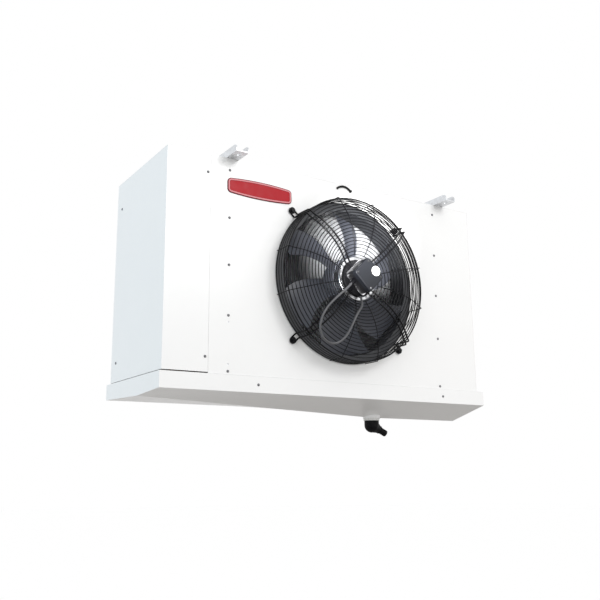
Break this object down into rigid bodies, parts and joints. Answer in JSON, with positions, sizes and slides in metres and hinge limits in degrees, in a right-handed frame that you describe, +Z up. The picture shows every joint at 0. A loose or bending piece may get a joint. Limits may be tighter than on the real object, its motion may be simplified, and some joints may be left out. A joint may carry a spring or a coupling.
{
  "type": "ceiling unit cooler",
  "caption": "Ceiling-hung walk-in cooler evaporator: white sheet casing, finned coil, guarded axial fan, hanging rails and hinged drain pan with a drain elbow.",
  "frame": {"origin": "centre of the four hanger holes, on the upper face of the hanging rails' webs", "axes": "+X along the casing, to the right seen from the fan side; +Y from the fan to the rear air inlet; +Z up"},
  "size_m": [1.157, 0.5647, 0.793],
  "materials": {
    "top_panel": "white powder coat",
    "fan_plate": "white powder coat",
    "left_end_cover": "white powder coat",
    "right_end_cover": "white powder coat",
    "end_plate_left": "galvanised",
    "end_plate_right": "galvanised",
    "coil_fins": "bare fins",
    "return_bends_left": "copper tube",
    "return_bends_right": "copper tube",
    "coil_rail": "galvanised",
    "hanging_rail_left": "galvanised",
    "hanging_rail_right": "galvanised",
    "rail_bolts": "zinc plated",
    "bellmouth": "black coat",
    "motor_stator": "black paint",
    "motor_plate": "zinc plated",
    "terminal_box": "dark grey moulding",
    "box_lid": "dark grey moulding",
    "lid_cap": "white cap",
    "lid_screws": "zinc plated",
    "box_gland": "black moulding",
    "motor_outlet": "black moulding",
    "motor_cable": "black sheath",
    "guard_rings": "black wire coat",
    "guard_side_rings": "black wire coat",
    "guard_wires": "black wire coat",
    "guard_arms": "black wire coat",
    "guard_bolts": "black bolts",
    "clamp_bolts": "black bolts",
    "slot_trim": "black sheath",
    "panel_screws": "zinc plated",
    "cover_screws": "zinc plated",
    "suction_header": "copper tube",
    "liquid_distributor": "copper tube",
    "feeder_tubes": "copper tube",
    "pan_clips": "galvanised",
    "hinge_knuckles": "galvanised",
    "rotor_can": "machined",
    "motor_shaft": "ground",
    "fan_blades": "dark coat",
    "drain_pan": "white powder coat",
    "pan_ears": "galvanised",
    "hinge_pins": "zinc plated",
    "lip_screws": "zinc plated",
    "drain_spigot": "white moulding",
    "drain_nut": "white moulding",
    "drain_elbow": "black moulding"
  },
  "bodies": {
    "casing": {"top_panel": "top_panel", "fan_plate": "fan_plate", "left_end_cover": "left_end_cover", "right_end_cover": "right_end_cover", "end_plate_left": "end_plate_left", "end_plate_right": "end_plate_right", "coil_fins": "coil_fins", "return_bends_left": "return_bends_left", "return_bends_right": "return_bends_right", "coil_rail": "coil_rail", "hanging_rail_left": "hanging_rail_left", "hanging_rail_right": "hanging_rail_right", "rail_bolts": "rail_bolts", "bellmouth": "bellmouth", "motor_stator": "motor_stator", "motor_plate": "motor_plate", "terminal_box": "terminal_box", "box_lid": "box_lid", "lid_cap": "lid_cap", "lid_screws": "lid_screws", "box_gland": "box_gland", "motor_outlet": "motor_outlet", "motor_cable": "motor_cable", "guard_rings": "guard_rings", "guard_side_rings": "guard_side_rings", "guard_wires": "guard_wires", "guard_arms": "guard_arms", "guard_bolts": "guard_bolts", "clamp_bolts": "clamp_bolts", "slot_trim": "slot_trim", "panel_screws": "panel_screws", "cover_screws": "cover_screws", "suction_header": "suction_header", "liquid_distributor": "liquid_distributor", "feeder_tubes": "feeder_tubes", "pan_clips": "pan_clips", "hinge_knuckles": "hinge_knuckles"},
    "fan": {"rotor_can": "rotor_can", "motor_shaft": "motor_shaft", "fan_blades": "fan_blades"},
    "pan": {"drain_pan": "drain_pan", "pan_ears": "pan_ears", "hinge_pins": "hinge_pins", "lip_screws": "lip_screws", "drain_spigot": "drain_spigot", "drain_nut": "drain_nut"},
    "elbow": {"drain_elbow": "drain_elbow"}
  },
  "joints": [
    {"name": "fan_spin", "type": "hinge", "parent": "casing", "child": "fan", "pos_m": [0, -0.191, -0.3205], "axis": [0, 1, 0], "continuous": true},
    {"name": "pan_drop", "type": "hinge", "parent": "casing", "child": "pan", "pos_m": [0, 0.216, -0.6335], "axis": [1, 0, 0], "range_deg": [0, 75]},
    {"name": "drain_swivel", "type": "hinge", "parent": "pan", "child": "elbow", "pos_m": [0.2, -0.041, -0.7242], "axis": [0, 0, 1], "continuous": true}
  ]
}
